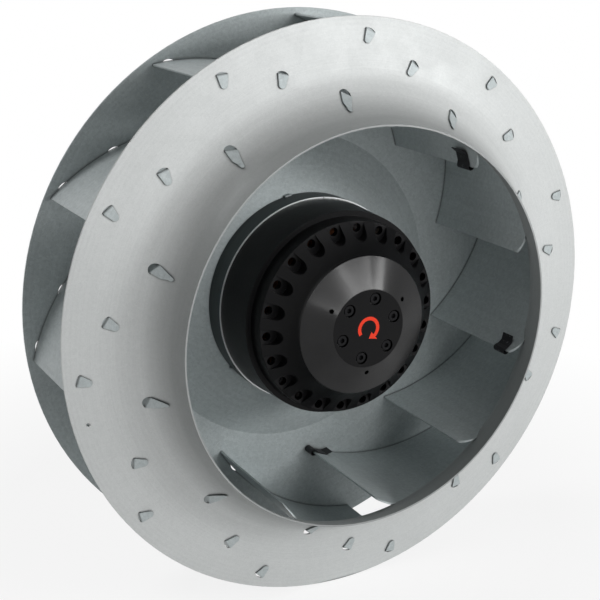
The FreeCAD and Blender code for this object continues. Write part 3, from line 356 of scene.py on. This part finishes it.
# ---- Shaft, circlip, spring and bearings ----
# Ground and hardened steel. The rings carry faint turning marks round the fan's axis, and a film of
# grease dulls them in patches.
ground_steel = Finish("ground_steel", {"Metallic": 1.0})
lathe_place = ground_steel.node("CombineXYZ", None, {0: ground_steel.distance(), 1: ground_steel.depth()})
lathe_marks = ground_steel.noise(3500.0, 2.0, 0.6, lathe_place)
grease = ground_steel.span(ground_steel.noise(90.0, 4.0, 0.6), 0.45, 0.7)
ground_steel.wear(
    Base_Color=ground_steel.blend(grease, (0.6, 0.6, 0.62), (0.42, 0.41, 0.39)),
    Roughness=0.2 + 0.12 * lathe_marks + 0.15 * grease,
)
ground_steel.bump(lathe_marks, 0.00001, 0.0003)
ground_steel.onto("shaft", "shaft_circlip", "preload_spring")
for bearing in ("front_bearing", "rear_bearing"):
    ground_steel.onto(f"{bearing}_inner", f"{bearing}_outer", f"{bearing}_balls")

# ---- Stator and rotor laminations ----
# Stacks of half-millimetre electrical sheet, whose edges show as fine lines round the core. Varnish
# has browned them in places.
LAMINATION = 0.0005


def ridges(finish, place, pitch):
    """A wave from 0 to 1 and back in each pitch of a coordinate."""
    half = pitch / 2
    return finish.node("Math", {"operation": "PINGPONG"}, {0: place, 1: half}) / half


stack = Finish("lamination", {"Metallic": 0.7})
sheets = ridges(stack, stack.depth(), LAMINATION)
varnish = stack.noise(60.0, 4.0, 0.6)
stack_tone = stack.blend(stack.span(varnish, 0.45, 0.7), (0.2, 0.2, 0.21), (0.12, 0.085, 0.05))
stack.wear(Base_Color=stack_tone, Roughness=0.4 + 0.2 * varnish)
stack.bump(stack.span(sheets, 0.0, 0.35), 0.00005, 0.0002)
stack.onto("stator_core", "rotor_core")

# ---- Winding ----
# Enamelled copper wire, laid in the slots and bound into heads. Each turn stands out as a thin round
# ridge, and dried varnish lies between them in patches. The grooves between the turns are darkened as
# painted shade.
WIRE = 0.0009
WIRE_WANDER = 0.004
winding = Finish("copper_wire", {"Metallic": 0.75, "Coat Weight": 0.4})
wander = (winding.noise(70.0, 3.0) - 0.5) * WIRE_WANDER
lay = ridges(winding, winding.distance() + wander, WIRE)
strand = winding.node("Math", {"operation": "SINE"}, {0: lay * (math.pi / 2)})
resin = winding.noise(130.0, 4.0, 0.6)
# Painted shade and highlight: the copper's colour darkens in the grooves between the turns and lightens
# on their tops.
copper_groove_shaded = winding.blend(strand, (0.06, 0.022, 0.01), (0.3, 0.12, 0.05))
winding.wear(
    Base_Color=winding.blend(winding.span(resin, 0.5, 0.75), copper_groove_shaded, (0.12, 0.055, 0.022)),
    Roughness=0.3 + 0.25 * resin,
)
winding.bump(strand, 0.0003, 0.0005)
winding.onto("winding")

# ---- Stator flange ----
# Die-cast aluminium. The mounting face and the bores are turned bright, with fine rings from the
# tool. The rest keeps the die's dull, slightly grainy skin.
TOOL_FEED = 0.0004
FACE_SKIN = 0.0001
FACE_FADE = 0.0003
cast = Finish("cast_aluminium", {"Metallic": 0.9})
turned = cast.span(cast.depth(), -FACE_FADE, -FACE_SKIN)
rings = ridges(cast, cast.distance(), TOOL_FEED)
skin = cast.noise(500.0, 4.0, 0.65)
flow = cast.noise(24.0, 4.0, 0.6)
skin_tone = cast.blend(flow, (0.38, 0.385, 0.39), (0.5, 0.505, 0.51))
cast.wear(
    Base_Color=cast.blend(turned, skin_tone, (0.62, 0.625, 0.63)),
    Roughness=0.55 - 0.25 * turned + 0.12 * skin,
)
cast.bump(skin * (1.0 - turned) + 0.25 * rings * turned, 0.00012, 0.0006)
cast.onto("stator_flange")

# ---- Bearing cap and earth screw ----
# Pressed and cold-headed steel with a bright zinc coat, blued a little and dulled by fingers. The cap
# closes the rear bearing, and the screw takes the earth wire.
zinc_coat = Finish("zinc_coat", {"Metallic": 1.0})
fingered = zinc_coat.noise(180.0, 4.0, 0.6)
zinc_coat.wear(
    Base_Color=zinc_coat.blend(fingered, (0.5, 0.53, 0.58), (0.64, 0.65, 0.66)),
    Roughness=0.25 + 0.2 * fingered,
)
zinc_coat.bump(zinc_coat.noise(1500.0), 0.00002, 0.0003)
zinc_coat.onto("bearing_cap", "earth_screw")

# ---- Cable gland ----
# Moulded black polyamide with the faint sparkle of an eroded tool, round a rubber insert. It is
# screwed into the flange's rim.
polyamide = Finish("gland_plastic")
erosion = polyamide.noise(1400.0, 3.0, 0.6)
gland_wear = polyamide.span(polyamide.noise(220.0, 4.0, 0.6), 0.55, 0.75)
polyamide.wear(
    Base_Color=polyamide.blend(gland_wear, (0.018, 0.018, 0.02), (0.04, 0.04, 0.042)),
    Roughness=0.5 + 0.15 * erosion,
)
polyamide.bump(erosion, 0.00004, 0.0004)
polyamide.onto("gland_body", "gland_nut")

insert = Finish("gland_rubber")
bloom = insert.noise(320.0, 4.0, 0.6)
insert.wear(
    Base_Color=insert.blend(bloom, (0.012, 0.012, 0.012), (0.03, 0.03, 0.029)),
    Roughness=0.75 + 0.15 * bloom,
)
insert.bump(bloom, 0.00003, 0.0003)
insert.onto("gland_seal")

# ---- Studio ----
# A plain pale floor under the wheel's rim, a white room and soft lamps: the key in front and to the
# right, two strips beyond it that the boss mirrors, one near the top and one over the back.
FLOOR_HEIGHT = -0.25
FLOOR_SIZE = 12.0
SHADOW_REACH = 0.28
WHITE_REACH = 0.65
SHADOWED_GLOW = 0.85
WHITE = (1.0, 1.0, 1.0)
ROOM_LIGHT = 0.1
WHEEL_CENTRE = Vector((0, -0.1, 0))


def seen(shading):
    """1 on what the camera sees, also mirrored or through glass, and 0 on what only gives light."""
    rays = shading.outputs("LightPath")
    either = {"operation": "MAXIMUM"}
    straight = shading.node("Math", either, {0: rays["Is Camera Ray"], 1: rays["Is Glossy Ray"]})
    return shading.node("Math", either, {0: straight, 1: rays["Is Transmission Ray"]})


bpy.ops.mesh.primitive_plane_add(size=FLOOR_SIZE, location=(0, 0, FLOOR_HEIGHT))
floor = bpy.context.object
floor.name = "studio_floor"
floor_paint = Finish("floor_paint", {"Roughness": 0.9, "Specular IOR Level": 0.1})
floor_tone = floor_paint.blend(floor_paint.noise(3.0), (0.93, 0.93, 0.93), (0.95, 0.95, 0.95))
floor_paint.wear(Base_Color=floor_tone)
reach = floor_paint.distance("X", "Y")
whiter = floor_paint.span(reach, SHADOW_REACH, WHITE_REACH, SHADOWED_GLOW, 1.0)
painted = Channel(floor_paint, floor_paint.shader.outputs[0])
glow = floor_paint.node("Emission", None, {"Color": WHITE, "Strength": 1.0})
floor_mix = floor_paint.node("MixShader", None, {0: seen(floor_paint) * whiter, 1: painted, 2: glow})
floor_paint.feed(floor_paint.tree.nodes["Material Output"].inputs["Surface"], floor_mix)
floor_paint.onto(floor)

world = bpy.data.worlds.new("white_room")
bpy.context.scene.world = world
world.use_nodes = True
room = Shading(world.node_tree)
backdrop = world.node_tree.nodes["Background"]
room.feed(backdrop.inputs["Color"], WHITE)
room.feed(backdrop.inputs["Strength"], room.span(seen(room), 0.0, 1.0, ROOM_LIGHT))


def softbox(name, place, width, height, power, roll=0.0):
    """A rectangular area lamp that shines on the fan from a place, rolled about its own axis."""
    bpy.ops.object.light_add(type="AREA", location=place)
    lamp = bpy.context.object
    lamp.name = name
    lamp.data.shape = "RECTANGLE"
    lamp.data.size = width
    lamp.data.size_y = height
    lamp.data.energy = power
    lamp.rotation_mode = "QUATERNION"
    upright = (WHEEL_CENTRE - Vector(place)).to_track_quat("-Z", "Y")
    lamp.rotation_quaternion = upright @ Quaternion((0, 0, 1), roll)


softbox("key_softbox", (0.9, -1.2, 0.3), 0.35, 0.35, power=4.8)
softbox("front_strip", (0.9, -2.2, 0.76), 1.0, 0.26, power=8.5)
softbox("front_slant", (0.08, -2.2, 0.33), 0.9, 0.22, power=5.5, roll=math.radians(43))
softbox("near_softbox", (0.2, -0.85, 0.6), 0.4, 0.4, power=0.7)
softbox("back_softbox", (-0.9, 0.6, 1.3), 0.7, 0.7, power=9.0)

# ---- Camera ----
# It stands to the left of the inlet and a little above it, as the photographer did, and looks at the
# wheel through a long lens.
CAMERA_PLACE = Vector((-0.5267, -1.0198, 0.3289))
CAMERA_AIM = Vector((-0.0438, -0.14, 0.0205))
CAMERA_TILT = math.radians(0.384)
CAMERA_LENS = 75.96
bpy.ops.object.camera_add(location=CAMERA_PLACE)
camera = bpy.context.object
camera.data.lens = CAMERA_LENS
camera.rotation_mode = "QUATERNION"
level_view = (CAMERA_AIM - CAMERA_PLACE).to_track_quat("-Z", "Y")
camera.rotation_quaternion = level_view @ Quaternion((0, 0, 1), CAMERA_TILT)
bpy.context.scene.camera = camera
bpy.context.scene.view_settings.view_transform = "Standard"
